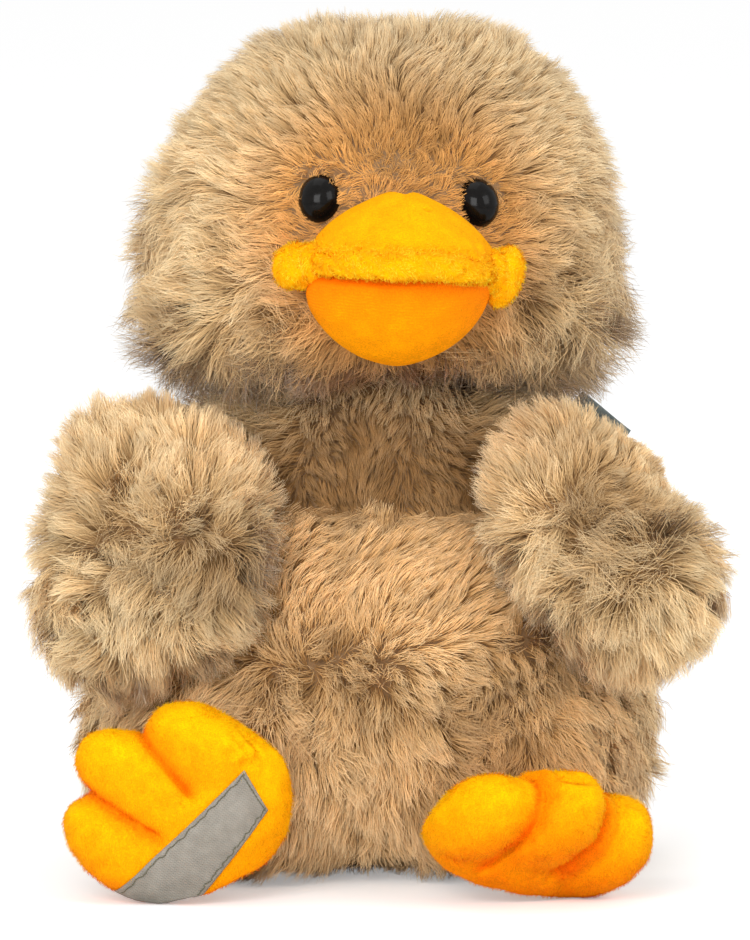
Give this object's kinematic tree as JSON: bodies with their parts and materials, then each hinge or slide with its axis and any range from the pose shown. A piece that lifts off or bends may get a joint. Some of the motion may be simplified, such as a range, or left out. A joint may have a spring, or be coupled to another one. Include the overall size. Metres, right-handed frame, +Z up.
{
  "type": "plush duck",
  "caption": "Seated stuffed duck with long pile plush, a padded two-part bill, dome eyes, swinging wings and velour feet",
  "frame": {"origin": "on the flat patch it sits on, under the neck", "axes": "+Z is up, -Y is the way the duck faces and +X is its own left side"},
  "size_m": [0.1971, 0.1993, 0.2407],
  "materials": {
    "plush": "long soft pile",
    "velour": "short velour pile",
    "filling": "loose fibre",
    "pellets": "plain cloth round plastic pellets",
    "eye": "polished",
    "washer": "as moulded",
    "ribbon": "satin weave",
    "label": "plain woven tape"
  },
  "bodies": {
    "body": {"body_skin": "plush", "body_filling": "filling", "pellet_bag": "pellets", "tail_skin": "plush", "tail_filling": "filling", "side_label": "label"},
    "head": {"head_skin": "plush", "head_filling": "filling", "upper_bill_skin": "velour", "upper_bill_filling": "filling", "lower_bill_skin": "velour", "lower_bill_filling": "filling", "right_eye": "eye", "left_eye": "eye", "right_eye_washer": "washer", "left_eye_washer": "washer"},
    "right_wing": {"right_wing_skin": "plush", "right_wing_filling": "filling"},
    "left_wing": {"left_wing_skin": "plush", "left_wing_filling": "filling"},
    "right_foot": {"right_foot_skin": "velour", "right_foot_filling": "filling", "foot_ribbon": "ribbon"},
    "left_foot": {"left_foot_skin": "velour", "left_foot_filling": "filling"}
  },
  "joints": [
    {"name": "head_nod", "type": "hinge", "parent": "body", "child": "head", "pos_m": [0, 0.004, 0.138], "axis": [1, 0, 0], "range_deg": [-8, 10], "stiffness_Nm_per_rad": 6},
    {"name": "right_wing_lift", "type": "hinge", "parent": "body", "child": "right_wing", "pos_m": [-0.044, -0.004, 0.118], "axis": [0, 1, 0], "range_deg": [-4, 16], "stiffness_Nm_per_rad": 1.5},
    {"name": "left_wing_lift", "type": "hinge", "parent": "body", "child": "left_wing", "pos_m": [0.044, -0.004, 0.118], "axis": [0, -1, 0], "range_deg": [-4, 16], "stiffness_Nm_per_rad": 1.5},
    {"name": "right_foot_tilt", "type": "hinge", "parent": "body", "child": "right_foot", "pos_m": [-0.0465, -0.063, 0.012], "axis": [1, 0, 0], "range_deg": [-8, 8], "stiffness_Nm_per_rad": 1},
    {"name": "left_foot_tilt", "type": "hinge", "parent": "body", "child": "left_foot", "pos_m": [0.0375, -0.063, 0.012], "axis": [1, 0, 0], "range_deg": [-8, 8], "stiffness_Nm_per_rad": 1}
  ]
}
